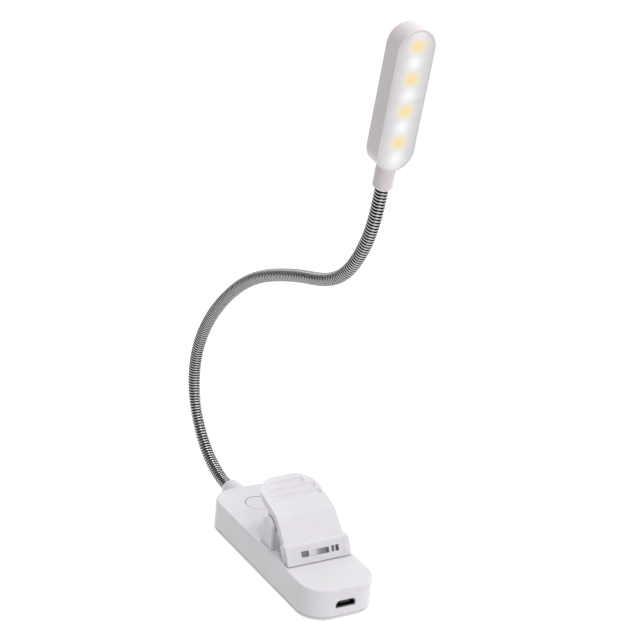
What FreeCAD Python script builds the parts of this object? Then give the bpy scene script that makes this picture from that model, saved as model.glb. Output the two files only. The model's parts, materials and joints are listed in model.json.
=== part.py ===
import FreeCAD, Part
import os
import math

os.makedirs("parts", exist_ok=True)
V = FreeCAD.Vector

# ---------------------------------------------------------------- dimensions
# All lengths in millimetres. Frame: origin on the table plane under the
# middle of the base, +Z up, +X to the lamp's right, -Y towards the charging
# socket, +Y towards the end that the gooseneck leaves.

BASE_L, BASE_W, BASE_H = 76.6, 28.0, 11.6      # clip base block
BASE_R = 9.3                                    # plan corner radius
WALL = 1.6                                      # moulded side wall
ROOF = 1.5                                      # moulded top wall
SEAM_Z = 1.4                                    # lower edge of the top shell
COVER_T = 1.2                                   # bottom cover thickness
BOSS_XY = (9.6, 31.5)                           # cover screw bosses

USB_W, USB_H, USB_Z = 7.5, 2.55, 4.55           # micro-USB receptacle, underside height
USB_DEPTH = 5.1

BOARD_Z, BOARD_T = 3.5, 1.0                     # control board underside and thickness
BUTTON_Y, BUTTON_R, BUTTON_GAP = 24.9, 4.8, 0.2
BUTTON_TRAVEL = 0.5

PIN_Y, PIN_Z, PIN_R = -3.3, 19.5, 1.0           # clip hinge axle
EAR_IN, EAR_OUT, EAR_TOP_R = 10.8, 12.5, 3.2
LUG_IN, LUG_OUT, LUG_R = 9.2, 10.5, 2.5
LEVER_HALF = 11.8                               # lever plate half width at the jaw
PADDLE_HALF = 11.4                              # half width from the shoulder on
JAW_HALF = 12.5                                 # jaw block half width
PLATE_T, RIM_T, RIM_W = 1.7, 2.4, 1.3

COLLAR_Z = 6.6                                  # gooseneck exit height
COLLAR_END = 47.4
NECK_R, BALL_R, CUP_R, BORE_R = 2.3, 2.41, 2.56, 0.9
LEAD_R = 0.3
NECK_FIRST, NECK_STEP, NECK_JOINTS = 8.9, 28.5, 8

# Gooseneck centre line in the plane x = 0, as (y, z), from inside the collar
# to inside the head ferrule.
NECK_LINE = [(38.5, 6.6), (44.0, 6.6), (49.3, 6.6), (54.0, 7.05), (58.9, 8.4), (66.1, 12.0),
             (72.3, 17.3), (76.9, 23.7), (79.8, 31.1), (80.9, 39.3),
             (79.7, 48.3), (75.8, 58.1), (69.1, 68.3), (60.0, 78.4),
             (48.9, 87.9), (35.8, 95.9), (22.1, 101.9), (8.1, 106.8),
             (-5.2, 111.1), (-16.3, 117.6), (-23.4, 125.8), (-27.9, 133.9),
             (-30.6, 141.6), (-32.1, 148.7), (-32.95, 153.7), (-33.8, 159.4)]

HEAD_TILT = 8.5                                 # head leans towards -Y, degrees
HEAD_L, HEAD_W, HEAD_T = 47.4, 13.4, 7.6
HEAD_AT = (-34.0, 161.0)                        # point on the head's mid-plane axis
HEAD_FROM = -0.4                                # lower tip, measured along the head
RIM = 0.65                                      # shell rim round the diffuser
LED_FIRST, LED_PITCH, LED_COUNT = 4.3, 5.35, 8
FERRULE_R, FERRULE_L = 3.3, 7.3

# ------------------------------------------------------------------- helpers


def save(name, shape):
    """One closed piece, or a group of separate equal pieces, in its own file."""
    shape.exportStep("parts/" + name + ".step")
    print("%-20s solids %d volume %9.2f box %s" % (
        name, len(shape.Solids), shape.Volume,
        [round(v, 1) for v in (shape.BoundBox.XMin, shape.BoundBox.XMax,
                               shape.BoundBox.YMin, shape.BoundBox.YMax,
                               shape.BoundBox.ZMin, shape.BoundBox.ZMax)]))


def group(shapes):
    return Part.makeCompound(shapes)


def box(x0, x1, y0, y1, z0, z1):
    return Part.makeBox(x1 - x0, y1 - y0, z1 - z0, V(x0, y0, z0))


def cyl(r, h, at, way=(0, 0, 1)):
    return Part.makeCylinder(r, h, V(*at), V(*way))


def fuse(first, *rest):
    s = first
    for r in rest:
        s = s.fuse(r)
    return s.removeSplitter()


def prism(points, way):
    """Flat closed outline of 3-D points, pushed along way."""
    w = Part.makePolygon([V(*p) for p in points] + [V(*points[0])])
    return Part.Face(w).extrude(V(*way))


def side_prism(yz, x0, x1):
    return prism([(x0, y, z) for y, z in yz], (x1 - x0, 0, 0))


def slab(w, l, r, z0, z1, cx=0.0, cy=0.0):
    """Upright block with rounded plan corners."""
    hw, hl = w / 2.0, l / 2.0
    k = r * (1 - math.sqrt(0.5))
    e = []

    def arc(a, b, c):
        e.append(Part.Arc(V(*a), V(*b), V(*c)).toShape())

    def line(a, b):
        if (V(*a) - V(*b)).Length > 1e-6:
            e.append(Part.LineSegment(V(*a), V(*b)).toShape())

    def P(x, y):
        return (cx + x, cy + y, z0)

    line(P(-hw + r, -hl), P(hw - r, -hl))
    arc(P(hw - r, -hl), P(hw - k, -hl + k), P(hw, -hl + r))
    line(P(hw, -hl + r), P(hw, hl - r))
    arc(P(hw, hl - r), P(hw - k, hl - k), P(hw - r, hl))
    line(P(hw - r, hl), P(-hw + r, hl))
    arc(P(-hw + r, hl), P(-hw + k, hl - k), P(-hw, hl - r))
    line(P(-hw, hl - r), P(-hw, -hl + r))
    arc(P(-hw, -hl + r), P(-hw + k, -hl + k), P(-hw + r, -hl))
    return Part.Face(Part.Wire(e)).extrude(V(0, 0, z1 - z0))


def edges_at_z(shape, z, test=None):
    out = []
    for ed in shape.Edges:
        b = ed.BoundBox
        if abs(b.ZMin - z) < 1e-5 and abs(b.ZMax - z) < 1e-5:
            if test is None or test(ed):
                out.append(ed)
    return out


def revolve_yr(profile, z, x=0.0):
    """Ring or plug turned about a line along Y at (x, z), from (y, r) points."""
    w = Part.makePolygon([V(x, y, z + r) for y, r in profile] +
                         [V(x, profile[0][0], z + profile[0][1])])
    return Part.Face(w).revolve(V(x, 0, z), V(0, 1, 0), 360)


# ----------------------------------------------------------------- clip base

outer = slab(BASE_W, BASE_L, BASE_R, SEAM_Z, BASE_H)
outer = outer.makeFillet(0.8, edges_at_z(outer, BASE_H))
inner = slab(BASE_W - 2 * WALL, BASE_L - 2 * WALL, BASE_R - WALL, SEAM_Z - 1, BASE_H - ROOF)
shell = outer.cut(inner)
bosses = [cyl(1.9, BASE_H - ROOF - 2.2 + 0.2, (sx * BOSS_XY[0], sy * BOSS_XY[1], 2.2))
          for sx in (-1, 1) for sy in (-1, 1)]

# Ears: two moulded cheeks that carry the axle, tapering to a round top.
ear_foot = BASE_H - 0.4


def ear_outline(x):
    c = V(x, PIN_Y, PIN_Z)
    pts = []
    # tangent from each foot corner to the round top
    for foot, side in (((x, -7.1, ear_foot), -1), ((x, 0.5, ear_foot), 1)):
        f = V(*foot)
        d = f - c
        dist = math.hypot(d.y, d.z)
        base_angle = math.atan2(d.z, d.y)
        off = math.acos(EAR_TOP_R / dist)
        a = base_angle - off if side < 0 else base_angle + off
        pts.append((f, V(x, c.y + EAR_TOP_R * math.cos(a), c.z + EAR_TOP_R * math.sin(a))))
    (f1, t1), (f2, t2) = pts
    top = V(x, PIN_Y, PIN_Z + EAR_TOP_R)
    return Part.Wire([Part.LineSegment(f1, t1).toShape(), Part.Arc(t1, top, t2).toShape(),
                      Part.LineSegment(t2, f2).toShape(), Part.LineSegment(f2, f1).toShape()])


ears = []
for x0, x1 in ((-EAR_OUT, -EAR_IN), (EAR_IN, EAR_OUT)):
    ears.append(Part.Face(ear_outline(x0)).extrude(V(x1 - x0, 0, 0)))
shell = fuse(shell, *(bosses + ears))
for sx in (-1, 1):
    for sy in (-1, 1):
        shell = shell.cut(cyl(0.85, 6.0, (sx * BOSS_XY[0], sy * BOSS_XY[1], 2.2)))
# blind sockets for the axle, open to the inside of each ear
shell = shell.cut(cyl(PIN_R + 0.02, 2 * (EAR_OUT - 0.5), (-(EAR_OUT - 0.5), PIN_Y, PIN_Z), (1, 0, 0)))
# round hole for the mode button
shell = shell.cut(cyl(BUTTON_R + BUTTON_GAP, 4.0, (0, BUTTON_Y, BASE_H - 3)))


def usb_outline(y, grow):
    """Receptacle outline: wide flat side down, two bevelled upper corners."""
    hw = USB_W / 2 + grow
    z0, z1 = USB_Z - grow, USB_Z + USB_H + grow
    b = 0.95 + grow * 0.4
    return [(-hw, y, z0), (hw, y, z0), (hw, y, z1 - b), (hw - b, y, z1), (-hw + b, y, z1), (-hw, y, z1 - b)]


shell = shell.cut(prism(usb_outline(-BASE_L / 2 - 1, 0.15), (0, WALL + 2, 0)))
# hole for the gooseneck collar's spigot
shell = shell.cut(cyl(3.4, WALL + 2, (0, BASE_L / 2 - WALL - 1, COLLAR_Z), (0, 1, 0)))
save("base_top_shell", shell)

plate = slab(BASE_W, BASE_L, BASE_R, 0, COVER_T)
plate = plate.makeFillet(0.7, edges_at_z(plate, 0))
lip = slab(BASE_W - 2 * WALL - 0.2, BASE_L - 2 * WALL - 0.2, BASE_R - WALL - 0.1, COVER_T - 0.2, 3.0)
lip = lip.cut(slab(BASE_W - 2 * WALL - 2.0, BASE_L - 2 * WALL - 2.0, BASE_R - WALL - 1.0, 0.5, 3.5))
pads = [cyl(2.1, 1.2, (sx * BOSS_XY[0], sy * BOSS_XY[1], COVER_T - 0.2)) for sx in (-1, 1) for sy in (-1, 1)]
STANDOFFS = [(-7.6, 19.8), (7.6, 19.8), (-8.5, -27.0), (8.5, -27.0)]
posts = [cyl(1.7, BOARD_Z - COVER_T + 0.2, (x, y, COVER_T - 0.2)) for x, y in STANDOFFS]
cover = fuse(plate, lip, *(pads + posts))
for sx in (-1, 1):
    for sy in (-1, 1):
        at = (sx * BOSS_XY[0], sy * BOSS_XY[1])
        cover = cover.cut(cyl(2.05, 3.0, (at[0], at[1], 2.2)))
        cover = cover.cut(cyl(1.9, 1.2, (at[0], at[1], 0)))
        cover = cover.cut(cyl(1.0, 3.0, (at[0], at[1], 0.5)))
for x, y in STANDOFFS[:2]:
    cover = cover.cut(cyl(0.72, 2.1, (x, y, BOARD_Z - 2.0)))
save("base_bottom_cover", cover)


def screw(head_r, head_h, shaft_r, shaft_l, at, up):
    """Pan-head screw; up is the way the shaft points. Cross recess in the head."""
    x, y, z = at
    s = cyl(head_r, head_h, (x, y, z if up > 0 else z - head_h))
    s = s.fuse(cyl(shaft_r, shaft_l + 0.2, (x, y, z + head_h - 0.2) if up > 0 else (x, y, z - head_h - shaft_l)))
    zr = z if up > 0 else z - 0.5
    cross = box(x - head_r * 0.6, x + head_r * 0.6, y - 0.2, y + 0.2, zr - 0.01, zr + 0.51)
    cross = cross.fuse(box(x - 0.2, x + 0.2, y - head_r * 0.6, y + head_r * 0.6, zr - 0.01, zr + 0.51))
    return s.cut(cross).removeSplitter()


save("cover_screws", group([screw(1.7, 0.9, 0.8, 6.0, (sx * BOSS_XY[0], sy * BOSS_XY[1], 0.3), 1)
                            for sx in (-1, 1) for sy in (-1, 1)]))

# ------------------------------------------------------ board and electrics

board = prism([(-6, -36.2, BOARD_Z), (6, -36.2, BOARD_Z), (11.2, -31, BOARD_Z), (11.2, 28.2, BOARD_Z),
               (-11.2, 28.2, BOARD_Z), (-11.2, -31, BOARD_Z)], (0, 0, BOARD_T))
for sx in (-1, 1):
    for sy in (-1, 1):
        board = board.cut(cyl(2.3, 3, (sx * BOSS_XY[0], sy * BOSS_XY[1], BOARD_Z - 1)))
for x, y in STANDOFFS[:2]:
    board = board.cut(cyl(0.9, 3, (x, y, BOARD_Z - 1)))
save("control_board", board)

TOP = BOARD_Z + BOARD_T
save("board_screws", group([screw(1.4, 0.9, 0.68, BOARD_T + 1.5, (x, y, TOP + 0.9), -1) for x, y in STANDOFFS[:2]]))
save("charge_chip", box(2.0, 7.0, -28.5, -24.5, TOP, TOP + 1.5))
save("driver_chip", box(-7.5, -3.5, -28.0, -24.6, TOP, TOP + 1.3))
save("board_passives", group([box(x, x + 1.6, y, y + 0.9, TOP, TOP + 0.7)
                              for x, y in ((-1.8, -28.2), (-1.8, -26.6), (-1.8, -25.0), (4.4, -31.8),
                                           (-6.0, -31.8), (-3.2, 19.0), (-0.8, 19.0), (1.6, 19.0))]))
foam = slab(18.0, 36.0, 1.0, TOP, TOP + 0.5, 0, -3.0)
save("battery_foam_pad", foam)
cell = slab(20.0, 40.0, 1.5, TOP + 0.5, TOP + 5.2, 0, -3.0)
cell = cell.makeFillet(0.8, edges_at_z(cell, TOP + 0.5) + edges_at_z(cell, TOP + 5.2))
save("battery_cell", cell)


def lead(points, r):
    """Thin insulated lead: straight runs with a ball at each turn."""
    s = None
    for a, b in zip(points, points[1:]):
        a, b = V(*a), V(*b)
        c = Part.makeCylinder(r, (b - a).Length, a, b - a)
        s = c if s is None else s.fuse(c)
    for p in points[1:-1]:
        s = s.fuse(Part.makeSphere(r, V(*p)))
    return s.removeSplitter()


save("battery_leads", group([lead([(x, -23.05, TOP + 2.6), (x, -23.7, TOP + 2.6), (x, -23.7, TOP)], 0.35)
                             for x in (-8.6, 8.6)]))

usb = prism(usb_outline(-BASE_L / 2 + 0.2, 0.0), (0, USB_DEPTH, 0))
usb = usb.cut(prism(usb_outline(-BASE_L / 2 - 1, -0.28), (0, USB_DEPTH + 0.8, 0)))
save("usb_shell", usb)
tongue = box(-1.9, 1.9, -BASE_L / 2 + 0.7, -BASE_L / 2 + 0.2 + USB_DEPTH - 0.4, 5.75, 6.35)
save("usb_tongue", tongue)

switch = box(-3, 3, BUTTON_Y - 3, BUTTON_Y + 3, TOP, TOP + 3.3)
switch = switch.cut(cyl(1.78, 2.2, (0, BUTTON_Y, TOP + 1.3)))
save("mode_switch_body", switch)

# button: flush round cap with a retaining flange under the top wall
cap = cyl(BUTTON_R, ROOF + 0.2, (0, BUTTON_Y, BASE_H - ROOF - 0.2))
cap = cap.makeFillet(0.25, edges_at_z(cap, BASE_H))
flange = cyl(5.6, 0.75, (0, BUTTON_Y, BASE_H - ROOF - 0.9))
save("mode_button", fuse(cap, flange))
save("mode_switch_plunger", cyl(1.7, BASE_H - ROOF - 0.9 - (TOP + 2.2), (0, BUTTON_Y, TOP + 2.2)))

# --------------------------------------------------------------- clip lever

# Side outline of the lever. The long plate rises from the jaw to the
# shoulder, turns over it and runs on as the thumb paddle.
A = V(0, -14.7, 17.5)        # foot of the plate on the jaw block
S = V(0, -7.25, 24.95)       # corner at the shoulder, before rounding
E = V(0, 12.2, 30.4)         # paddle line, past the rounded end
SHOULDER_R = 6.0


def unit(v):
    return v * (1.0 / v.Length)


def offset_path(depth, start=0.0):
    """Plate line moved inwards by depth: straight, arc over the shoulder, straight."""
    u1, u2 = unit(S - A), unit(E - S)
    n1 = V(0, u1.z, -u1.y)
    n2 = V(0, u2.z, -u2.y)
    turn = math.acos(max(-1, min(1, u1.dot(u2))))
    r = SHOULDER_R - depth
    a, e = A + n1 * depth + u1 * start, E + n2 * depth
    c = S + (n1 + n2) * (SHOULDER_R / (1 + math.cos(turn)))
    t1, t2 = c - n1 * r, c - n2 * r
    m = c - unit(n1 + n2) * r
    return a, t1, m, t2, e


def band(x0, x1, depth, start=0.0):
    """Slice of the lever between its outer face and that depth under it."""
    o = offset_path(0.0, start)
    i = offset_path(depth, start)
    sh = V(x0, 0, 0)
    w = Part.Wire([Part.LineSegment(o[0] + sh, o[1] + sh).toShape(), Part.Arc(o[1] + sh, o[2] + sh, o[3] + sh).toShape(),
                   Part.LineSegment(o[3] + sh, o[4] + sh).toShape(), Part.LineSegment(o[4] + sh, i[4] + sh).toShape(),
                   Part.LineSegment(i[4] + sh, i[3] + sh).toShape(), Part.Arc(i[3] + sh, i[2] + sh, i[1] + sh).toShape(),
                   Part.LineSegment(i[1] + sh, i[0] + sh).toShape(), Part.LineSegment(i[0] + sh, o[0] + sh).toShape()])
    return Part.Face(w).extrude(V(x1 - x0, 0, 0))


plate = band(-LEVER_HALF, LEVER_HALF, PLATE_T, -3.0)
rims = [band(-LEVER_HALF, -LEVER_HALF + RIM_W, RIM_T, -1.0), band(LEVER_HALF - RIM_W, LEVER_HALF, RIM_T, -1.0)]
lever = fuse(plate, *rims)
# paddle end rounded in plan
LEVER_END, END_R = 10.8, 8.0
keep = slab(2 * PADDLE_HALF, 40.0, END_R, 5.0, 40.0, 0.0, LEVER_END - 20.0)
lower = prism([(-LEVER_HALF, -30.0, 5.0), (LEVER_HALF, -30.0, 5.0), (LEVER_HALF, -15.5, 5.0),
               (PADDLE_HALF, -5.0, 5.0), (-PADDLE_HALF, -5.0, 5.0), (-LEVER_HALF, -15.5, 5.0)], (0, 0, 35.0))
upper = box(-20.0, 20.0, -5.0, 40.0, 5.0, 40.0)
lever = lever.common(fuse(lower, keep.common(upper)))
lever = lever.cut(box(-20, 20, -40, -14.6, 0, 40))

# jaw block: closed on top, in front and at both ends, open below
JAW = [(-14.2, 17.95), (-16.75, 17.75), (-19.8, 12.0), (-16.1, 12.0), (-14.2, 14.6), (-12.6, 16.6)]
jaw = side_prism(JAW, -JAW_HALF, JAW_HALF)
hollow = side_prism([(-15.7, 16.3), (-16.4, 16.2), (-18.6, 11.9), (-17.0, 11.9), (-15.5, 14.6)],
                    -JAW_HALF + 1.3, JAW_HALF - 1.3)
lever = fuse(lever, jaw)
lever = lever.cut(hollow)
# row of four windows in the sloping front wall: (x0, x1, lower, upper) along the slope
FACE0, FACE1 = V(0, -19.8, 12.0), V(0, -16.75, 17.75)
fu = unit(FACE1 - FACE0)
fn = V(0, -fu.z, fu.y)
WINDOWS = [(-6.85, -3.8, 2.25, 4.4), (-3.35, 4.2, 2.2, 4.3), (4.9, 6.3, 2.3, 4.4), (6.7, 8.1, 2.2, 4.4)]


def on_face(x0, x1, s0, s1, depth):
    """Block sunk into the sloping front face to the given depth."""
    a, b = FACE0 + fu * s0 + fn * 0.5, FACE0 + fu * s1 + fn * 0.5
    d = fn * -(depth + 0.5)
    return prism([(x0, a.y, a.z), (x1, a.y, a.z), (x1, b.y, b.z), (x0, b.y, b.z)], (0, d.y, d.z))


# faint sunk panel round the windows
lever = lever.cut(on_face(-8.2, 10.2, 0.9, 5.4, 0.08))
for w in WINDOWS:
    lever = lever.cut(on_face(*w, 1.6))
# upright grooves in the two ends of the jaw block
for x0, x1 in ((-JAW_HALF - 1, -JAW_HALF + 0.3), (JAW_HALF - 0.3, JAW_HALF + 1)):
    lever = lever.cut(side_prism([(-15.35, 16.6), (-15.9, 16.6), (-18.05, 11.9), (-17.3, 11.9)], x0, x1))

# lugs that hang from the plate and turn on the axle
def lug(x0, x1):
    pts = [(-8.6, 22.2), (-5.6, 18.6)]
    body = side_prism([(-8.3, 22.0), (PIN_Y - LUG_R * 0.9, PIN_Z - 0.6), (PIN_Y + LUG_R * 0.9, PIN_Z - 0.6),
                       (1.6, 25.9), (-5.5, 24.6)], x0, x1)
    return body.fuse(cyl(LUG_R, x1 - x0, (x0, PIN_Y, PIN_Z), (1, 0, 0)))


lever = fuse(lever, lug(-LUG_OUT, -LUG_IN), lug(LUG_IN, LUG_OUT))
lever = lever.cut(cyl(PIN_R + 0.06, 40, (-20, PIN_Y, PIN_Z), (1, 0, 0)))
# three grip flutes across the paddle, with round ends
pu = unit(E - S)
pn = V(0, -pu.z, pu.y)
FLUTE_R, FLUTE_UP = 1.7, 1.12                   # cutter radius, its axis above the surface
for y, reach_x in ((0.7, 9.2), (3.9, 8.7), (7.2, 5.6)):
    t = (y - S.y) / pu.y
    c = S + pu * t + pn * FLUTE_UP
    flute = cyl(FLUTE_R, 2 * reach_x, (-reach_x, c.y, c.z), (1, 0, 0))
    for sx in (-1, 1):
        flute = flute.fuse(Part.makeSphere(FLUTE_R, V(sx * reach_x, c.y, c.z)))
    lever = lever.cut(flute)
save("clip_lever", lever)

pad = side_prism([(-16.05, 15.9), (-16.35, 15.9), (-18.3, 11.95), (-17.3, 11.95), (-15.85, 14.6)],
                 -JAW_HALF + 1.5, JAW_HALF - 1.5)
save("jaw_grip_pad", pad)

save("clip_axle", cyl(PIN_R, 2 * (EAR_OUT - 0.6), (-(EAR_OUT - 0.6), PIN_Y, PIN_Z), (1, 0, 0)))

# torsion spring: closed coil round the axle with one leg on the base and one
# under the paddle
WIRE, COIL_R, TURNS = 0.8, 1.75, 9
coil_len = WIRE * TURNS
prof = [V(-coil_len / 2, PIN_Y, PIN_Z + COIL_R - WIRE / 2)]
edges = [Part.LineSegment(V(coil_len / 2, PIN_Y, PIN_Z + COIL_R), V(coil_len / 2, PIN_Y, PIN_Z + COIL_R - WIRE / 2)).toShape(),
         Part.LineSegment(V(coil_len / 2, PIN_Y, PIN_Z + COIL_R - WIRE / 2), V(-coil_len / 2, PIN_Y, PIN_Z + COIL_R - WIRE / 2)).toShape(),
         Part.LineSegment(V(-coil_len / 2, PIN_Y, PIN_Z + COIL_R - WIRE / 2), V(-coil_len / 2, PIN_Y, PIN_Z + COIL_R)).toShape()]
for i in range(TURNS):
    x0 = -coil_len / 2 + i * WIRE
    edges.append(Part.Arc(V(x0, PIN_Y, PIN_Z + COIL_R), V(x0 + WIRE / 2, PIN_Y, PIN_Z + COIL_R + WIRE / 2 * 0.9),
                          V(x0 + WIRE, PIN_Y, PIN_Z + COIL_R)).toShape())
coil = Part.Face(Part.Wire(Part.__sortEdges__(edges))).revolve(V(0, PIN_Y, PIN_Z), V(1, 0, 0), 360)
leg_x = coil_len / 2 - WIRE / 2
down = lead([(-leg_x, PIN_Y + COIL_R, PIN_Z), (-leg_x, PIN_Y + COIL_R + 0.6, BASE_H + 1.0), (-leg_x, 3.2, BASE_H + 0.5)], 0.4)
o = offset_path(PLATE_T + 0.5)
pl = unit(o[4] - o[3])
reach = o[3] + pl * 7.5
up = lead([(leg_x, PIN_Y + 0.2, PIN_Z + COIL_R), (leg_x, reach.y, reach.z)], 0.4)
spring = fuse(coil, down, up)
save("clip_spring", spring)

# ------------------------------------------------------------ gooseneck neck

HOLD_R = NECK_R + 0.12                          # bore that holds the gooseneck
collar = revolve_yr([(BASE_L / 2, HOLD_R), (BASE_L / 2, 3.9), (40.6, 4.05), (43.2, 4.1), (45.2, 3.9),
                     (46.4, 3.5), (47.1, 3.05), (COLLAR_END, 2.7), (COLLAR_END, HOLD_R)], COLLAR_Z)
spigot = revolve_yr([(BASE_L / 2 - WALL - 1.2, HOLD_R), (BASE_L / 2 - WALL - 1.2, 3.3), (BASE_L / 2 + 0.2, 3.3),
                     (BASE_L / 2 + 0.2, HOLD_R)], COLLAR_Z)
save("neck_collar", fuse(collar, spigot))

anchor = revolve_yr([(BASE_L / 2 - WALL - 3.6, NECK_R + 0.02), (BASE_L / 2 - WALL - 3.6, 3.3),
                     (BASE_L / 2 - WALL - 1.3, 3.3), (BASE_L / 2 - WALL - 1.3, NECK_R + 0.02)], COLLAR_Z)
save("neck_anchor_crimp", anchor)


def smooth(points, n=60):
    """Dense smooth line through the centre points."""
    c = Part.BSplineCurve()
    c.interpolate([V(0, y, z) for y, z in points])
    return c


line = smooth(NECK_LINE)
total = line.length()


def at_length(s):
    u = line.parameterAtDistance(s, line.FirstParameter)
    return line.value(u), unit(line.tangent(u)[0])


# length along the line where it leaves the collar
s0 = line.length(line.FirstParameter, line.parameter(V(0, COLLAR_END, COLLAR_Z)))
joint_s = [s0 + NECK_FIRST + NECK_STEP * k for k in range(NECK_JOINTS)]
joints = [at_length(s) for s in joint_s]
for k, (p, t) in enumerate(joints):
    print("neck joint %d at y %.3f z %.3f tangent y %.4f z %.4f s %.2f" % (k + 1, p.y, p.z, t.y, t.z, joint_s[k]))


def curved_rod(r, s_a, s_b):
    """Rod of circular section along the arc through three points of the line."""
    a, m, b = at_length(s_a)[0], at_length((s_a + s_b) / 2)[0], at_length(s_b)[0]
    u, v = m - a, b - a
    n = u.cross(v)
    if n.Length < 0.02 * v.Length * v.Length / 8:
        return Part.makeCylinder(r, v.Length, a, v), unit(v), unit(v)
    c = Part.Arc(a, m, b).toShape().Curve.Center
    ax = unit((a - c).cross(b - c))
    start, end = unit(ax.cross(a - c)), unit(ax.cross(b - c))
    ang = math.degrees((a - c).getAngle(b - c))
    disc = Part.Face(Part.Wire(Part.makeCircle(r, a, start)))
    return disc.revolve(c, ax, ang), start, end


def link(s_a, s_b, ball, cup):
    rod, ta, tb = curved_rod(NECK_R, s_a, s_b)
    bore, _, _ = curved_rod(BORE_R, s_a, s_b)
    a, b = at_length(s_a)[0], at_length(s_b)[0]
    body = rod
    if ball:
        body = body.fuse(Part.makeSphere(BALL_R, a))
    body = body.cut(bore)
    body = body.cut(Part.makeCylinder(BORE_R, 3.5, a - ta * 3.5, ta))
    if cup:
        body = body.cut(Part.makeSphere(CUP_R, b))
    core = None
    if ball:
        # leads run from the face of the ball to the floor of the next cup
        tail = Part.makeCylinder(LEAD_R, BALL_R - 0.25, a - ta * (BALL_R - 0.25), ta)
    else:
        tail = None
    wire, _, _ = curved_rod(LEAD_R, s_a, s_b)
    leads = []
    for dx in (-0.42, 0.42):
        w = wire
        if tail is not None:
            w = w.fuse(tail)
        if cup:
            w = w.cut(Part.makeSphere(CUP_R, b))
        w = w.removeSplitter()
        w.translate(V(dx, 0, 0))
        leads.append(w)
    return body.removeSplitter(), group(leads)




def tangent_rod(r, at, way, far, across):
    """Rod along the arc that leaves at along way and ends at far; across is normal to way."""
    chord = far - at
    rho = chord.dot(chord) / (2 * chord.dot(across))
    c = at + across * rho
    ax = unit((at - c).cross(far - c))
    ang = math.degrees((at - c).getAngle(far - c))
    disc = Part.Face(Part.Wire(Part.makeCircle(r, at, way)))
    return disc.revolve(c, ax, ang), unit(ax.cross(far - c))


# root length, held in the collar and reaching back to the anchor
NECK_BACK = BASE_L / 2 - WALL - 3.6
first = joints[0][0]
mouth = V(0, COLLAR_END - 0.3, COLLAR_Z)
ahead = V(0, 1, 0)


def root_rod(r, back):
    rod, _ = tangent_rod(r, mouth, ahead, first, V(0, 0, 1))
    return rod.fuse(Part.makeCylinder(r, mouth.y - back, V(0, back, COLLAR_Z), ahead)).removeSplitter()


cup = Part.makeSphere(CUP_R, first)
root = root_rod(NECK_R, NECK_BACK).cut(root_rod(BORE_R, NECK_BACK)).cut(cup)
save("neck_root", root)
root_leads = []
for dx in (-0.42, 0.42):
    w = root_rod(LEAD_R, 30.5).cut(cup)
    w.translate(V(dx, 0, 0))
    root_leads.append(w)
save("neck_root_leads", group(root_leads))
for k in range(NECK_JOINTS - 1):
    body, leads = link(joint_s[k], joint_s[k + 1], True, True)
    save("neck_link_%d" % (k + 1), body)
    save("neck_leads_%d" % (k + 1), leads)
# -------------------------------------------------------------- lamp head

ct, st = math.cos(math.radians(HEAD_TILT)), math.sin(math.radians(HEAD_TILT))
# head frame: first axis across (+X), second along the head, third out of its front
along = V(0, -st, ct)
front = V(0, -ct, -st)


def to_head(shape):
    """Place a shape drawn with x across, y along the head and z out of its front."""
    return shape.transformed(FreeCAD.Matrix(1, 0, 0, 0,
                                            0, along.y, front.y, HEAD_AT[0],
                                            0, along.z, front.z, HEAD_AT[1],
                                            0, 0, 0, 1))


def head_point(x, y, z):
    return V(x, HEAD_AT[0] + along.y * y + front.y * z, HEAD_AT[1] + along.z * y + front.z * z)


SEAT = 1.2                                      # depth of the diffuser's seat
mid = HEAD_FROM + HEAD_L / 2
half = HEAD_T / 2
block = slab(HEAD_W, HEAD_L, HEAD_W / 2, -half, half, 0, mid)
block = block.makeFillet(0.9, edges_at_z(block, -half))
block = block.makeFillet(0.3, edges_at_z(block, half))
pocket = slab(HEAD_W - 2 * RIM, HEAD_L - 2 * RIM, HEAD_W / 2 - RIM, half - SEAT, half + 1, 0, mid)
cavity = slab(HEAD_W - 2.6, HEAD_L - 2.6, HEAD_W / 2 - 1.3, -half + 1.2, half + 1, 0, mid)
head = block.cut(pocket).cut(cavity)
head = head.cut(cyl(NECK_R + 0.03, 6.0, (0, HEAD_FROM - 2.0, 0), (0, 1, 0)))
save("head_shell", to_head(head))

lens = slab(HEAD_W - 2 * RIM - 0.1, HEAD_L - 2 * RIM - 0.1, HEAD_W / 2 - RIM - 0.05, half - SEAT, half + 0.15, 0, mid)
lens = lens.makeFillet(0.35, edges_at_z(lens, half + 0.15))
save("head_diffuser", to_head(lens))

BOARD_FROM = 3.0
led_board = slab(HEAD_W - 4.0, HEAD_L - 6.0, 4.2, -0.9, -0.1, 0, BOARD_FROM + (HEAD_L - 6.0) / 2)
save("led_board", to_head(led_board))
warm, cool = [], []
for k in range(LED_COUNT):
    s = LED_FIRST + LED_PITCH * k
    chip = box(-1.4, 1.4, s - 0.9, s + 0.9, -0.1, 0.65)
    (cool if k % 2 == 0 else warm).append(chip)
save("leds_white", to_head(group(cool)))
save("leds_warm", to_head(group(warm)))
save("led_resistors", to_head(group([box(x, x + 0.8, s - 0.8, s + 0.8, -0.1, 0.35)
                                     for x, s in ((3.2, LED_FIRST + 2.67), (-4.0, LED_FIRST + 2.67),
                                                  (3.2, LED_FIRST + 29.4), (-4.0, LED_FIRST + 29.4))])))
save("led_board_posts", to_head(group([cyl(0.8, half - 1.2 - 0.9, (0, s, -half + 1.2))
                                       for s in (LED_FIRST + 8.0, LED_FIRST + 29.4)])))

# ferrule: short white sleeve under the head that grips the gooseneck; its top
# is scooped to the round end of the head
low = HEAD_FROM + 0.1 - FERRULE_L
fer = cyl(FERRULE_R, FERRULE_L + 1.4, (0, low, 0), (0, 1, 0))
fer = fer.makeFillet(0.7, [e for e in fer.Edges
                           if abs(e.BoundBox.YMin - low) < 1e-4 and abs(e.BoundBox.YMax - low) < 1e-4])
fer = fer.cut(block).cut(cyl(NECK_R + 0.1, 20, (0, low - 5, 0), (0, 1, 0)))
save("head_ferrule", to_head(fer))

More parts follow.
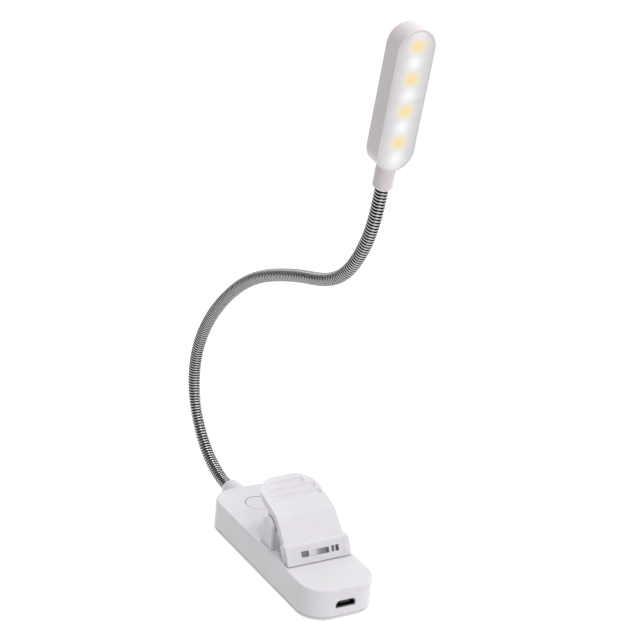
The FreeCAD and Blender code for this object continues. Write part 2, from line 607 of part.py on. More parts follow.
# last length of the gooseneck: arc up to the ferrule, then straight inside it
TIP_TOP = 2.4
mouth = head_point(0, low - 0.3, 0)
a = joints[-1][0]


def tip_rod(r):
    rod, end = tangent_rod(r, mouth, along * -1, a, front)
    straight = Part.makeCylinder(r, TIP_TOP - low + 0.3, mouth, along)
    return rod.fuse(straight).removeSplitter(), end * -1


tip, ta = tip_rod(NECK_R)
tip = tip.fuse(Part.makeSphere(BALL_R, a)).cut(tip_rod(BORE_R)[0]).cut(Part.makeCylinder(BORE_R, 3.5, a - ta * 3.5, ta))
save("neck_tip", tip.removeSplitter())
leads = []
for dx in (-0.42, 0.42):
    w = tip_rod(LEAD_R)[0].fuse(Part.makeCylinder(LEAD_R, BALL_R - 0.25, a - ta * (BALL_R - 0.25), ta))
    w = w.fuse(Part.makeCylinder(LEAD_R, BOARD_FROM - TIP_TOP, head_point(0, TIP_TOP, 0), along)).removeSplitter()
    w.translate(V(dx, 0, 0))
    leads.append(w)
save("neck_tip_leads", group(leads))
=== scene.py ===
import bpy
import bmesh
import json
import math
import numpy as np
from mathutils import Vector, Matrix


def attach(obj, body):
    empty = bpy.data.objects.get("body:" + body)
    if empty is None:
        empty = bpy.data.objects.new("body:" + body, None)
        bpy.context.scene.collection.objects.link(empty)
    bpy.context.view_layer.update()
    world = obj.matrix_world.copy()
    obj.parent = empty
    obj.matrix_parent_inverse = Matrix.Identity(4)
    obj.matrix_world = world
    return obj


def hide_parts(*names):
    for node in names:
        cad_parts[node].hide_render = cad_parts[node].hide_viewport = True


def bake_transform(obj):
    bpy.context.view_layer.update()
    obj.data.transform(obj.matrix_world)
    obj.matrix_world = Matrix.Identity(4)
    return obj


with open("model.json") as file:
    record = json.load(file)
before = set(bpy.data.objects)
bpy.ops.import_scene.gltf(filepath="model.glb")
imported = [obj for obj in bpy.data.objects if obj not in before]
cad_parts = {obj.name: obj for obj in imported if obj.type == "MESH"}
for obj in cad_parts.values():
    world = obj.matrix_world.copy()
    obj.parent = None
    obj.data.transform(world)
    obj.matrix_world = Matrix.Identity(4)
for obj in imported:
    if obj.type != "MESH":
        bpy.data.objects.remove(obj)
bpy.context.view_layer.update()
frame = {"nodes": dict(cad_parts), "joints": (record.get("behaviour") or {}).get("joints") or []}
NODES = frame["nodes"]
JOINTS = {j["name"]: j for j in frame["joints"]}
MM = 0.001
rng = np.random.default_rng(7)

# ---------------------------------------------------------------- camera

cam_data = bpy.data.cameras.new("camera")
cam = bpy.data.objects.new("camera", cam_data)
bpy.context.scene.collection.objects.link(cam)
right = Vector((0.86370, -0.49588, 0.09010)).normalized()
up = Vector((0.12544, 0.38465, 0.91450)).normalized()
back = right.cross(up).normalized()
up = back.cross(right).normalized()
cam.matrix_world = Matrix((
    (right.x, up.x, back.x, -0.32561),
    (right.y, up.y, back.y, -0.52366),
    (right.z, up.z, back.z, 0.35922),
    (0, 0, 0, 1)))
cam_data.sensor_width = 36.0
cam_data.lens = 112.5
cam_data.clip_start = 0.01
cam_data.clip_end = 20.0
bpy.context.scene.camera = cam

# --------------------------------------------------------- material helpers


def material(name):
    m = bpy.data.materials.new(name)
    m.use_nodes = True
    nt = m.node_tree
    for n in list(nt.nodes):
        nt.nodes.remove(n)
    out = nt.nodes.new("ShaderNodeOutputMaterial")
    bsdf = nt.nodes.new("ShaderNodeBsdfPrincipled")
    nt.links.new(bsdf.outputs[0], out.inputs[0])
    return m, nt, bsdf


def node(nt, kind, **values):
    n = nt.nodes.new(kind)
    for k, v in values.items():
        if k in n.inputs:
            n.inputs[k].default_value = v
        else:
            setattr(n, k, v)
    return n


def maths(nt, op, a, b=None, c=None, clamp=False):
    n = nt.nodes.new("ShaderNodeMath")
    n.operation = op
    n.use_clamp = clamp
    for i, v in enumerate((a, b, c)):
        if v is None:
            continue
        if isinstance(v, (int, float)):
            n.inputs[i].default_value = v
        else:
            nt.links.new(v, n.inputs[i])
    return n.outputs[0]


def coords(nt):
    t = nt.nodes.new("ShaderNodeTexCoord")
    return t.outputs["Object"]


def ramp(nt, fac, stops):
    r = nt.nodes.new("ShaderNodeValToRGB")
    e = r.color_ramp.elements
    while len(e) > 1:
        e.remove(e[-1])
    e[0].position, e[0].color = stops[0][0], (*stops[0][1], 1)
    for p, c in stops[1:]:
        s = e.new(p)
        s.color = (*c, 1)
    nt.links.new(fac, r.inputs[0])
    return r.outputs[0]


def noise(nt, vec, scale, detail=2.0, rough=0.5):
    n = nt.nodes.new("ShaderNodeTexNoise")
    n.inputs["Scale"].default_value = scale
    n.inputs["Detail"].default_value = detail
    n.inputs["Roughness"].default_value = rough
    nt.links.new(vec, n.inputs["Vector"])
    return n.outputs[0]


def moulded(name, base, rough=0.36, grain=3800.0, bump=0.05, sub=0.06, spec=0.5):
    """Satin moulded plastic: faint tone drift, fine spark-eroded grain, uneven sheen."""
    m, nt, b = material(name)
    v = coords(nt)
    tone = noise(nt, v, 55.0, 3.0, 0.6)
    lo = tuple(c * 0.955 for c in base)
    hi = tuple(min(1.0, c * 1.02) for c in base)
    nt.links.new(ramp(nt, tone, [(0.25, lo), (0.75, hi)]), b.inputs["Base Color"])
    fine = noise(nt, v, grain, 2.0, 0.55)
    wide = noise(nt, v, 160.0, 2.0, 0.5)
    r = maths(nt, "MULTIPLY_ADD", wide, 0.14, rough - 0.07)
    r = maths(nt, "MULTIPLY_ADD", fine, 0.06, r)
    nt.links.new(r, b.inputs["Roughness"])
    bp = nt.nodes.new("ShaderNodeBump")
    bp.inputs["Strength"].default_value = bump
    bp.inputs["Distance"].default_value = 0.00012
    nt.links.new(fine, bp.inputs["Height"])
    nt.links.new(bp.outputs[0], b.inputs["Normal"])
    b.inputs["Specular IOR Level"].default_value = spec
    b.inputs["IOR"].default_value = 1.5
    b.inputs["Subsurface Weight"].default_value = sub
    b.inputs["Subsurface Scale"].default_value = 0.0015
    return m


def metal(name, base, rough=0.22, lines=0.0, axis=2, tint=0.9):
    """Metal with drifting tone and roughness, and brushed lines across axis if asked."""
    m, nt, b = material(name)
    v = coords(nt)
    tone = noise(nt, v, 300.0, 3.0, 0.6)
    nt.links.new(ramp(nt, tone, [(0.3, tuple(c * tint for c in base)), (0.7, base)]), b.inputs["Base Color"])
    b.inputs["Metallic"].default_value = 1.0
    w = noise(nt, v, 900.0, 3.0, 0.6)
    nt.links.new(maths(nt, "MULTIPLY_ADD", w, 0.16, rough - 0.08), b.inputs["Roughness"])
    if lines:
        mp = nt.nodes.new("ShaderNodeMapping")
        sc = [60.0, 60.0, 60.0]
        sc[axis] = 6000.0
        mp.inputs["Scale"].default_value = sc
        nt.links.new(v, mp.inputs["Vector"])
        fine = noise(nt, mp.outputs[0], 1.0, 3.0, 0.6)
        bp = nt.nodes.new("ShaderNodeBump")
        bp.inputs["Strength"].default_value = lines
        bp.inputs["Distance"].default_value = 0.00004
        nt.links.new(fine, bp.inputs["Height"])
        nt.links.new(bp.outputs[0], b.inputs["Normal"])
    return m


def give(names, mat):
    for n in names:
        o = NODES[n]
        o.data.materials.clear()
        o.data.materials.append(mat)


# ------------------------------------------------------------- materials

WHITE = (0.69, 0.675, 0.70)
shell_mat = moulded("white_shell", WHITE, rough=0.34)
lever_mat = moulded("white_lever", (0.70, 0.685, 0.715), rough=0.36)
button_mat = moulded("white_button", (0.68, 0.665, 0.69), rough=0.4)
head_mat = moulded("white_head", (0.655, 0.612, 0.62), rough=0.3)
pad_mat = moulded("grey_rubber_painted_light", (0.30, 0.30, 0.31), rough=0.62, grain=2600.0, bump=0.25, sub=0.0, spec=0.35)
nt = pad_mat.node_tree
b = next(n for n in nt.nodes if n.type == "BSDF_PRINCIPLED")
sep = nt.nodes.new("ShaderNodeSeparateXYZ")
nt.links.new(coords(nt), sep.inputs[0])
# painted light across the jaw: plain grey, a painted highlight fading out, painted shade, a narrow painted
# highlight, painted shade
along_x = maths(nt, "DIVIDE", maths(nt, "ADD", sep.outputs[0], 0.0125), 0.025)
painted_light_x = ramp(nt, along_x, [
    (0.0, (0.30, 0.30, 0.31)), (0.352, (0.30, 0.30, 0.31)), (0.358, (0.95, 0.94, 0.95)),
    (0.47, (0.90, 0.89, 0.90)), (0.535, (0.42, 0.42, 0.43)), (0.66, (0.26, 0.26, 0.27)),
    (0.70, (0.20, 0.20, 0.205)), (0.712, (0.20, 0.20, 0.205)), (0.716, (0.85, 0.85, 0.86)),
    (0.738, (0.85, 0.85, 0.86)), (0.742, (0.16, 0.16, 0.165)), (1.0, (0.20, 0.20, 0.205))])
# painted highlights and painted shade across the jaw, multiplied by a random wear tone
painted_light_and_wear = nt.nodes.new("ShaderNodeMix")
painted_light_and_wear.data_type = "RGBA"
painted_light_and_wear.blend_type = "MULTIPLY"
painted_light_and_wear.inputs[0].default_value = 0.35
nt.links.new(painted_light_x, painted_light_and_wear.inputs[6])
nt.links.new(ramp(nt, noise(nt, coords(nt), 700.0, 3.0, 0.6), [(0.3, (0.75, 0.75, 0.75)), (0.7, (1.0, 1.0, 1.0))]), painted_light_and_wear.inputs[7])
nt.links.new(painted_light_and_wear.outputs[2], b.inputs["Base Color"])
black_mat = moulded("black_plastic", (0.012, 0.012, 0.013), rough=0.45, sub=0.0)
steel_mat = metal("plain_steel", (0.58, 0.58, 0.59), rough=0.3, lines=0.2, axis=0)
socket_mat = metal("socket_steel", (0.16, 0.16, 0.165), rough=0.38, lines=0.15, axis=1)
board_mat = moulded("green_board", (0.02, 0.16, 0.06), rough=0.35, grain=1500, bump=0.1, sub=0.0)
white_board_mat = moulded("white_board", (0.78, 0.78, 0.75), rough=0.4, sub=0.0)
chip_mat = moulded("chip_package", (0.02, 0.02, 0.022), rough=0.5, sub=0.0)
passive_mat = moulded("ceramic_parts", (0.45, 0.33, 0.22), rough=0.4, sub=0.0)
foam_mat = moulded("foam_tape", (0.07, 0.07, 0.075), rough=0.9, grain=1800, bump=0.6, sub=0.0)
pouch_mat = metal("foil_pouch", (0.6, 0.61, 0.63), rough=0.42)
lead_mat = moulded("red_lead", (0.45, 0.03, 0.025), rough=0.45, sub=0.0)

give(["base_top_shell", "base_bottom_cover", "neck_collar"], shell_mat)
give(["clip_lever"], lever_mat)
give(["mode_button"], button_mat)
give(["head_shell", "head_ferrule", "led_board_posts"], head_mat)
give(["jaw_grip_pad"], pad_mat)
give(["mode_switch_body", "mode_switch_plunger", "usb_tongue"], black_mat)
give(["cover_screws", "board_screws", "clip_axle", "neck_anchor_crimp", "clip_spring"], steel_mat)
give(["usb_shell"], socket_mat)
give(["control_board"], board_mat)
give(["led_board"], white_board_mat)
give(["charge_chip", "driver_chip", "led_resistors"], chip_mat)
give(["board_passives"], passive_mat)
give(["battery_foam_pad"], foam_mat)
give(["battery_cell"], pouch_mat)
give(["battery_leads", "neck_root_leads", "neck_tip_leads"] + ["neck_leads_%d" % k for k in range(1, 8)], lead_mat)

# ------------------------------------------------------------- head frame

TILT = math.radians(8.5)
ALONG = Vector((0, -math.sin(TILT), math.cos(TILT)))
FRONT = Vector((0, -math.cos(TILT), -math.sin(TILT)))
HEAD_AT = Vector((0, -0.0340, 0.1610))
LED_FIRST, LED_PITCH, LED_COUNT = 4.3 * MM, 5.35 * MM, 8
# glow on the cover: width across in mm and sharpness along, and emitted colours
WARM_CORE, WARM_HALO, WHITE_GLOW = (2.3, 0.8), (3.4, 0.4), (3.1, 1.3)
WARM_GLOW, FIELD_GLOW = (0.69, 0.51, 0.12), (0.485, 0.47, 0.50)


def head_axes(nt):
    """Distance along the head from its reference point, and across it, of each shaded point."""
    v = coords(nt)
    sub = node(nt, "ShaderNodeVectorMath", operation="SUBTRACT")
    nt.links.new(v, sub.inputs[0])
    sub.inputs[1].default_value = HEAD_AT
    dot = node(nt, "ShaderNodeVectorMath", operation="DOT_PRODUCT")
    nt.links.new(sub.outputs[0], dot.inputs[0])
    dot.inputs[1].default_value = ALONG
    sep = nt.nodes.new("ShaderNodeSeparateXYZ")
    nt.links.new(v, sep.inputs[0])
    return dot.outputs["Value"], sep.outputs[0], v


def diffuser_material():
    """Frosted cover lit from behind: warm and white glows in turn that run into each other."""
    m, nt, b = material("frosted_diffuser")
    s, x, v = head_axes(nt)
    t = maths(nt, "DIVIDE", maths(nt, "SUBTRACT", s, LED_FIRST), LED_PITCH)
    t = maths(nt, "MINIMUM", maths(nt, "MAXIMUM", t, -0.5), LED_COUNT - 0.5)
    wave = maths(nt, "COSINE", maths(nt, "MULTIPLY", t, math.pi))
    white_run = maths(nt, "MAXIMUM", wave, 0.0)
    warm_run = maths(nt, "MAXIMUM", maths(nt, "MULTIPLY", wave, -1.0), 0.0)
    wob = maths(nt, "MULTIPLY_ADD", noise(nt, v, 420.0, 2.0, 0.5), 0.08, 0.96)

    def across(width):
        a = maths(nt, "DIVIDE", x, width)
        return maths(nt, "EXPONENT", maths(nt, "MULTIPLY", maths(nt, "MULTIPLY", a, a), -1.0))

    warm_core = maths(nt, "MULTIPLY", maths(nt, "POWER", warm_run, WARM_CORE[1]), across(WARM_CORE[0] * MM))
    warm_halo = maths(nt, "MULTIPLY", maths(nt, "POWER", warm_run, WARM_HALO[1]), across(WARM_HALO[0] * MM))
    white = maths(nt, "MULTIPLY_ADD", maths(nt, "POWER", white_run, WHITE_GLOW[1]), 0.5, 0.5)
    white = maths(nt, "MULTIPLY", white, across(WHITE_GLOW[0] * MM))
    # away from the chips the cover falls off a little towards its rim
    rim = maths(nt, "MULTIPLY_ADD", across(5.2 * MM), 0.22, 0.80)

    def mixed(base, colour, fac):
        n = node(nt, "ShaderNodeMix", data_type="RGBA")
        if isinstance(base, tuple):
            n.inputs[6].default_value = (*base, 1)
        else:
            nt.links.new(base, n.inputs[6])
        n.inputs[7].default_value = (*colour, 1)
        nt.links.new(fac, n.inputs[0])
        return n.outputs[2]

    c = mixed(FIELD_GLOW, (0.735, 0.735, 0.715), white)
    c = mixed(c, (0.70, 0.635, 0.47), maths(nt, "MULTIPLY", warm_halo, 0.7))
    c = mixed(c, WARM_GLOW, maths(nt, "MULTIPLY", warm_core, 0.95))
    nt.links.new(c, b.inputs["Emission Color"])
    nt.links.new(maths(nt, "MULTIPLY", rim, wob), b.inputs["Emission Strength"])
    tone = noise(nt, v, 90.0, 2.0, 0.5)
    nt.links.new(ramp(nt, tone, [(0.3, (0.195, 0.19, 0.20)), (0.7, (0.215, 0.21, 0.22))]), b.inputs["Base Color"])
    fine = noise(nt, v, 3000.0, 2.0, 0.6)
    nt.links.new(maths(nt, "MULTIPLY_ADD", fine, 0.12, 0.46), b.inputs["Roughness"])
    b.inputs["Specular IOR Level"].default_value = 0.35
    bp = nt.nodes.new("ShaderNodeBump")
    bp.inputs["Strength"].default_value = 0.12
    bp.inputs["Distance"].default_value = 0.0001
    nt.links.new(fine, bp.inputs["Height"])
    nt.links.new(bp.outputs[0], b.inputs["Normal"])
    return m


def led_material(name, colour, strength):
    m, nt, b = material(name)
    v = coords(nt)
    n = noise(nt, v, 1600.0, 2.0, 0.5)
    nt.links.new(ramp(nt, n, [(0.3, tuple(c * 0.9 for c in colour)), (0.7, colour)]), b.inputs["Base Color"])
    b.inputs["Emission Color"].default_value = (*colour, 1)
    b.inputs["Emission Strength"].default_value = strength
    nt.links.new(maths(nt, "MULTIPLY_ADD", n, 0.1, 0.3), b.inputs["Roughness"])
    return m


give(["head_diffuser"], diffuser_material())
give(["leds_warm"], led_material("led_warm", (1.0, 0.72, 0.25), 1.2))
give(["leds_white"], led_material("led_white", (0.95, 0.95, 0.8), 1.2))

# --------------------------------------------------- softened CAD edges


def soften(name, width, segments=3, angle=32.0):
    """Small rounds on a moulded piece's sharp edges, by modifiers only."""
    o = NODES[name]
    d = o.modifiers.new("flatten", "DECIMATE")
    d.decimate_type = "DISSOLVE"
    d.angle_limit = math.radians(0.6)
    b = o.modifiers.new("rounds", "BEVEL")
    b.width = width
    b.segments = segments
    b.limit_method = "ANGLE"
    b.angle_limit = math.radians(angle)
    b.harden_normals = True
    b.use_clamp_overlap = True


def smooth(names, angle=32.0):
    for n in names:
        o = NODES[n]
        for p in o.data.polygons:
            p.use_smooth = True


# ------------------------------------------------------------- gooseneck

LINE = [(38.5, 6.6), (44.0, 6.6), (49.3, 6.6), (54.0, 7.05), (58.9, 8.4), (66.1, 12.0),
        (72.3, 17.3), (76.9, 23.7), (79.8, 31.1), (80.9, 39.3),
        (79.7, 48.3), (75.8, 58.1), (69.1, 68.3), (60.0, 78.4),
        (48.9, 87.9), (35.8, 95.9), (22.1, 101.9), (8.1, 106.8),
        (-5.2, 111.1), (-16.3, 117.6), (-23.4, 125.8), (-27.9, 133.9),
        (-30.6, 141.6), (-32.1, 148.7), (-32.95, 153.7), (-33.8, 159.4)]


def natural_spline(points, n=6000):
    """Points evenly spaced by length along the smooth line through the given ones."""
    p = np.array(points, float)
    d = np.r_[0, np.cumsum(np.linalg.norm(np.diff(p, axis=0), axis=1))]
    h = np.diff(d)
    m = len(p)
    a = np.zeros((m, m))
    r = np.zeros((m, 2))
    a[0, 0] = a[-1, -1] = 1
    for i in range(1, m - 1):
        a[i, i - 1], a[i, i], a[i, i + 1] = h[i - 1], 2 * (h[i - 1] + h[i]), h[i]
        r[i] = 6 * ((p[i + 1] - p[i]) / h[i] - (p[i] - p[i - 1]) / h[i - 1])
    s = np.linalg.solve(a, r)
    u = np.linspace(0, d[-1], n)
    i = np.clip(np.searchsorted(d, u, side="right") - 1, 0, m - 2)
    x0, x1, hh = u - d[i], d[i + 1] - u, h[i]
    q = (s[i] * (x1 ** 3)[:, None] + s[i + 1] * (x0 ** 3)[:, None]) / (6 * hh)[:, None]
    q += (p[i] / hh[:, None] - s[i] * hh[:, None] / 6) * x1[:, None]
    q += (p[i + 1] / hh[:, None] - s[i + 1] * hh[:, None] / 6) * x0[:, None]
    return q


# run straight on at both ends: back to the anchor in the base, up to the light board
LINE = [(30.5, 6.6), (34.5, 6.6)] + LINE + [(-34.15, 162.0), (-34.45, 164.0)]
DENSE = natural_spline(LINE)
STEP = np.r_[0, np.cumsum(np.linalg.norm(np.diff(DENSE, axis=0), axis=1))]
TOTAL = STEP[-1]


def on_line(s):
    """Point and tangent of the centre line at lengths s, in mm, as y and z."""
    s = np.asarray(s, float)
    y = np.interp(s, STEP, DENSE[:, 0])
    z = np.interp(s, STEP, DENSE[:, 1])
    e = 0.2
    ty = np.interp(s + e, STEP, DENSE[:, 0]) - np.interp(s - e, STEP, DENSE[:, 0])
    tz = np.interp(s + e, STEP, DENSE[:, 1]) - np.interp(s - e, STEP, DENSE[:, 1])
    n = np.hypot(ty, tz)
    return y, z, ty / n, tz / n


def length_at(y, z):
    return STEP[int(np.argmin((DENSE[:, 0] - y) ** 2 + (DENSE[:, 1] - z) ** 2))]


neck_joints = [j for j in frame["joints"] if j["name"].startswith("neck_")]
neck_joints.sort(key=lambda j: int(j["name"].split("_")[-1]))
joint_s = [length_at(j["pos_m"][1] * 1000, j["pos_m"][2] * 1000) for j in neck_joints]
PITCH = 1.1
WIRE_R, WRAP_R = 0.45, 1.85
CORE_R, BORE_R = 1.70, 0.95
LEAD_R, LEAD_X = 0.3, 0.42
AROUND, SECTION = 36, 12


def place(s, radial, ang):
    """Points at length s, distance radial from the centre line, angle ang round it."""
    y, z, ty, tz = on_line(s)
    c, q = np.cos(ang) * radial, np.sin(ang) * radial
    # across is +X; the other normal lies in the plane of the line
    return np.stack([c, y - q * tz, z + q * ty], -1) * MM


def mesh_object(name, verts, faces, mat, smooth_faces=True):
    me = bpy.data.meshes.new(name)
    me.from_pydata([tuple(v) for v in verts], [], faces)
    me.update()
    o = bpy.data.objects.new(name, me)
    bpy.context.scene.collection.objects.link(o)
    me.materials.append(mat)
    if smooth_faces:
        me.polygons.foreach_set("use_smooth", [len(p.vertices) < 5 for p in me.polygons])
    return o


def tube_faces(rings, around, caps=True, first=0):
    faces = []
    for i in range(rings - 1):
        a, b = first + i * around, first + (i + 1) * around
        for j in range(around):
            j2 = (j + 1) % around
            faces.append((a + j, a + j2, b + j2, b + j))
    if caps:
        faces.append(tuple(first + j for j in range(around - 1, -1, -1)))
        faces.append(tuple(first + (rings - 1) * around + j for j in range(around)))
    return faces


def wound_wire(s_a, s_b):
    """Closed wire wound round the centre line from s_a to s_b."""
    n = int(round((s_b - s_a) / PITCH * AROUND))
    s_c = s_a + (s_b - s_a) * np.arange(n + 1) / n
    turn = 2 * math.pi * s_c / PITCH
    sec = 2 * math.pi * np.arange(SECTION) / SECTION
    s = s_c[:, None] - np.cos(sec)[None, :] * WIRE_R
    rad = np.broadcast_to(WRAP_R + np.sin(sec)[None, :] * WIRE_R, s.shape)
    ang = np.broadcast_to(turn[:, None], s.shape)
    return place(s.ravel(), rad.ravel(), ang.ravel()), tube_faces(n + 1, SECTION)


def mark_crown(me):
    """How far out each point of a wound wire lies: 1 on its crown, -1 on its inside."""
    a = me.attributes.new("crown", "FLOAT", "POINT")
    sec = 2 * math.pi * np.arange(SECTION) / SECTION
    a.data.foreach_set("value", np.tile(np.sin(sec), len(me.vertices) // SECTION))


def core_tube(s_a, s_b, around=28):
    """Closed inner sleeve: outer wall, bore and the two ring ends."""
    n = max(2, int((s_b - s_a) / 0.8))
    s = np.repeat(np.linspace(s_a, s_b, n + 1), around)
    ang = np.tile(2 * math.pi * np.arange(around) / around, n + 1)
    v = np.concatenate([place(s, np.full(s.shape, CORE_R), ang), place(s, np.full(s.shape, BORE_R), ang)])
    m = (n + 1) * around
    faces = tube_faces(n + 1, around, False)
    faces += [tuple(reversed(f)) for f in tube_faces(n + 1, around, False, m)]
    for j in range(around):
        j2 = (j + 1) % around
        faces.append((j2, j, m + j, m + j2))
        t = n * around
        faces.append((t + j, t + j2, m + t + j2, m + t + j))
    return v, faces


def lead_pair(s_a, s_b, around=10):
    """Two insulated leads side by side in the bore."""
    n = max(2, int((s_b - s_a) / 0.8))
    s = np.repeat(np.linspace(s_a, s_b, n + 1), around)
    ang = np.tile(2 * math.pi * np.arange(around) / around, n + 1)
    v, faces = [], []
    for k, x in enumerate((-LEAD_X, LEAD_X)):
        p = place(s, np.full(s.shape, LEAD_R), ang)
        p[:, 0] += x * MM
        v.append(p)
        faces += tube_faces(n + 1, around, True, k * len(s))
    return np.concatenate(v), faces


chrome_mat = metal("neck_chrome", (0.62, 0.62, 0.625), rough=0.10, tint=0.9)
# painted shade: the creases between the turns are painted dark, and the crowns are painted bright
nt = chrome_mat.node_tree
b = next(n for n in nt.nodes if n.type == "BSDF_PRINCIPLED")
crown = node(nt, "ShaderNodeAttribute", attribute_name="crown")
painted_crease_shade = ramp(nt, crown.outputs["Fac"], [(0.47, (0.012, 0.012, 0.013)), (0.84, (0.45, 0.45, 0.455)), (0.96, (1.0, 1.0, 1.0))])
# the painted crease shade multiplies the chrome's colour
painted_crease_shade_mix = node(nt, "ShaderNodeMix", data_type="RGBA", blend_type="MULTIPLY")
painted_crease_shade_mix.inputs[0].default_value = 1.0
nt.links.new(b.inputs["Base Color"].links[0].from_socket, painted_crease_shade_mix.inputs[6])
nt.links.new(painted_crease_shade, painted_crease_shade_mix.inputs[7])
nt.links.new(painted_crease_shade_mix.outputs[2], b.inputs["Base Color"])
core_mat = moulded("neck_core", (0.02, 0.02, 0.022), rough=0.5, sub=0.0)

cad = ["neck_root"] + ["neck_link_%d" % k for k in range(1, 8)] + ["neck_tip"]
cad_leads = ["neck_root_leads"] + ["neck_leads_%d" % k for k in range(1, 8)] + ["neck_tip_leads"]
NECK_A, NECK_B = length_at(33.3, 6.6), length_at(-33.5, 157.4)
middles = [(a + b) / 2 for a, b in zip(joint_s, joint_s[1:])]
LAST = len(joint_s) - 1
for k in range(len(joint_s)):
    # the part in the collar stays straight, so the first length starts to turn outside it
    b = joint_s[k] + 14.0
    cut_a = middles[k - 1] if k else None
    cut_b = middles[k] if k < LAST else None
    for name, build, lo, hi, mat, old in (
            ("neck_wire_%d", wound_wire, NECK_A, NECK_B, chrome_mat, cad),
            ("neck_core_%d", core_tube, NECK_A, NECK_B, core_mat, []),
            ("neck_lead_pair_%d", lead_pair, 0.3, TOTAL - 0.3, lead_mat, cad_leads)):
        v, f = build(lo if cut_a is None else cut_a, hi if cut_b is None else cut_b)
        o = mesh_object(name % (k + 1), v, f, mat)
        if mat is chrome_mat:
            mark_crown(o.data)
        # a blended piece stands for the CAD pieces it spans
        if old:
            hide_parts(old[k])
            if k == LAST:
                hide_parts(old[k + 1])
        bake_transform(o)

# ---------------------------------------------------------- torsion spring


def swept(points, r, around=10):
    """Closed tube along a line of 3-D points, in mm, its section carried without twist."""
    p = np.array(points, float)
    t = np.gradient(p, axis=0)
    t /= np.linalg.norm(t, axis=1)[:, None]
    u = np.cross(t[0], [0.3, 0.5, 0.81])
    u /= np.linalg.norm(u)
    v = []
    a = 2 * math.pi * np.arange(around) / around
    for i in range(len(p)):
        u = u - t[i] * u.dot(t[i])
        u /= np.linalg.norm(u)
        w = np.cross(t[i], u)
        v.append(p[i] + r * (np.cos(a)[:, None] * u + np.sin(a)[:, None] * w))
    return np.concatenate(v) * MM, tube_faces(len(p), around)


PIN_Y, PIN_Z, COIL_R, COIL_WIRE = -3.3, 19.5, 1.78, 0.39
LEG_TIP = (2.08, 25.28)                         # under the paddle
dy, dz = LEG_TIP[0] - PIN_Y, LEG_TIP[1] - PIN_Z
leave = math.atan2(dz, dy) - math.acos(COIL_R / math.hypot(dy, dz))
sweep = 2 * math.pi * 8 + leave
turns = np.linspace(0, sweep, 8 * 32)
coil = [(-3.2, 3.3, 12.0), (-3.2, 1.6, 12.15), (-3.2, 0.1, 12.4), (-3.2, -0.7, 12.9), (-3.2, -1.15, 13.8),
        (-3.2, -1.35, 15.5), (-3.2, -1.47, 17.5)]
coil += [(-3.2 + 6.4 * a / sweep, PIN_Y + COIL_R * math.cos(a), PIN_Z + COIL_R * math.sin(a)) for a in turns]
ty, tz = PIN_Y + COIL_R * math.cos(leave), PIN_Z + COIL_R * math.sin(leave)
leg = [(3.2, ty + (LEG_TIP[0] - ty) * k, tz + (LEG_TIP[1] - tz) * k) for k in np.linspace(0.0, 1.0, 9)]
v, f = swept(coil, COIL_WIRE)
o = mesh_object("clip_spring_coil", v, f, steel_mat)
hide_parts("clip_spring")
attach(o, "base")
v, f = swept(leg, COIL_WIRE)
o = mesh_object("clip_spring_leg", v, f, steel_mat)
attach(o, "clip_lever")

for n in ("base_top_shell", "base_bottom_cover", "clip_lever", "head_ferrule", "head_shell", "neck_collar", "mode_button"):
    smooth([n])
soften("clip_lever", 0.35 * MM)
soften("base_top_shell", 0.18 * MM, 2)
soften("head_ferrule", 0.15 * MM, 2)

# ------------------------------------------------------- floor and light

ROOM = 0.19

floor_mat, nt, b = material("studio_floor")
v = coords(nt)
n = noise(nt, v, 6.0, 3.0, 0.5)
nt.links.new(ramp(nt, n, [(0.3, (0.24, 0.24, 0.24)), (0.7, (0.26, 0.26, 0.26))]), b.inputs["Base Color"])
b.inputs["Roughness"].default_value = 0.65
b.inputs["Emission Color"].default_value = (1, 1, 1, 1)
b.inputs["Emission Strength"].default_value = 0.86

bm = bmesh.new()
prof = [(-1.6, 0.0), (0.55, 0.0)]
for i in range(1, 13):
    t = math.radians(90 * i / 12)
    prof.append((0.55 + 0.35 * math.sin(t), 0.35 * (1 - math.cos(t))))
prof.append((0.9, 2.2))
rows = []
for x in (-2.0, 2.0):
    rows.append([bm.verts.new((x, y, z - 0.0002)) for y, z in prof])
for i in range(len(prof) - 1):
    bm.faces.new((rows[0][i], rows[1][i], rows[1][i + 1], rows[0][i + 1]))
me = bpy.data.meshes.new("studio_floor")
bm.to_mesh(me)
bm.free()
floor = bpy.data.objects.new("studio_floor", me)
bpy.context.scene.collection.objects.link(floor)
floor.rotation_euler = (0, 0, math.radians(-32))
me.materials.append(floor_mat)
me.polygons.foreach_set("use_smooth", [True] * len(me.polygons))

# The room: pale on the whole, a tall softbox on the camera's right and dark
# curtains on both sides of it, which the polished neck reflects as bands.
world = bpy.data.worlds.new("studio")
bpy.context.scene.world = world
world.use_nodes = True
wt = world.node_tree
bg = wt.nodes["Background"]
wc = wt.nodes.new("ShaderNodeTexCoord")


def toward(way):
    d = node(wt, "ShaderNodeVectorMath", operation="DOT_PRODUCT")
    wt.links.new(wc.outputs["Generated"], d.inputs[0])
    d.inputs[1].default_value = Vector(way).normalized()
    return d.outputs["Value"]


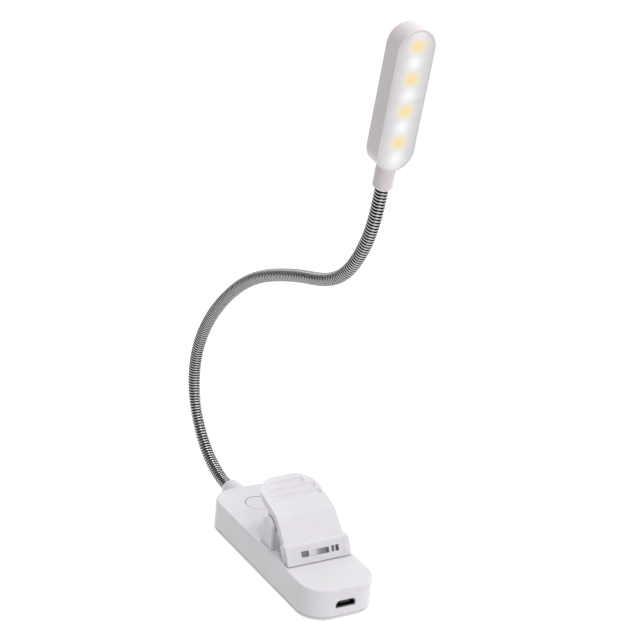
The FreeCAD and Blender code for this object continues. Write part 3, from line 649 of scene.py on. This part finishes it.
def step(value, a, b):
    r = node(wt, "ShaderNodeMapRange", interpolation_type="SMOOTHSTEP")
    wt.links.new(value, r.inputs["Value"])
    r.inputs["From Min"].default_value = a
    r.inputs["From Max"].default_value = b
    return r.outputs[0]


def sector(lo, hi, soft):
    """1 between two bearings in degrees, 0 outside them."""
    up_side = step(bearing, math.radians(lo - soft), math.radians(lo + soft))
    down_side = step(bearing, math.radians(hi - soft), math.radians(hi + soft))
    return maths(wt, "MULTIPLY", up_side, maths(wt, "SUBTRACT", 1.0, down_side))


def shade(level, to, fac):
    return maths(wt, "ADD", level, maths(wt, "MULTIPLY", maths(wt, "SUBTRACT", to, level), fac))


# bearing 0 faces the camera's side of the room, positive to the camera's right
bearing = maths(wt, "ARCTAN2", toward((0.867, -0.498, 0)), toward((-0.531, -0.847, 0)))
height = toward((0, 0, 1))
level = maths(wt, "ADD", 0.0, ROOM)
level = shade(level, 0.015, sector(-66, 11, 6))
level = shade(level, 2.6, sector(17, 50, 3))
level = shade(level, 0.05, sector(62, 150, 8))
level = shade(level, 0.7, step(height, math.sin(math.radians(52)), math.sin(math.radians(68))))
wt.links.new(level, bg.inputs[1])
bg.inputs[0].default_value = (1.0, 0.985, 1.0, 1)


def area(name, at, aim, size, power, colour=(1, 1, 1)):
    d = bpy.data.lights.new(name, "AREA")
    d.shape = "RECTANGLE"
    d.size, d.size_y = size
    d.energy = power
    d.color = colour
    o = bpy.data.objects.new(name, d)
    bpy.context.scene.collection.objects.link(o)
    o.location = at
    way = Vector(aim) - Vector(at)
    o.rotation_euler = way.to_track_quat("-Z", "Y").to_euler()
    return o


area("key", (0.42, -0.52, 0.80), (0, 0, 0.04), (0.3, 0.3), 0.7)
area("top", (-0.14, -0.10, 0.98), (0, 0, 0.05), (0.4, 0.3), 3.2)
area("side", (0.66, -0.02, 0.76), (0, 0, 0.03), (0.2, 0.2), 2.0)

bpy.context.scene.view_settings.view_transform = "Standard"
bpy.context.scene.view_settings.look = "None"
bpy.context.scene.view_settings.exposure = 0.0

bpy.context.view_layer.update()
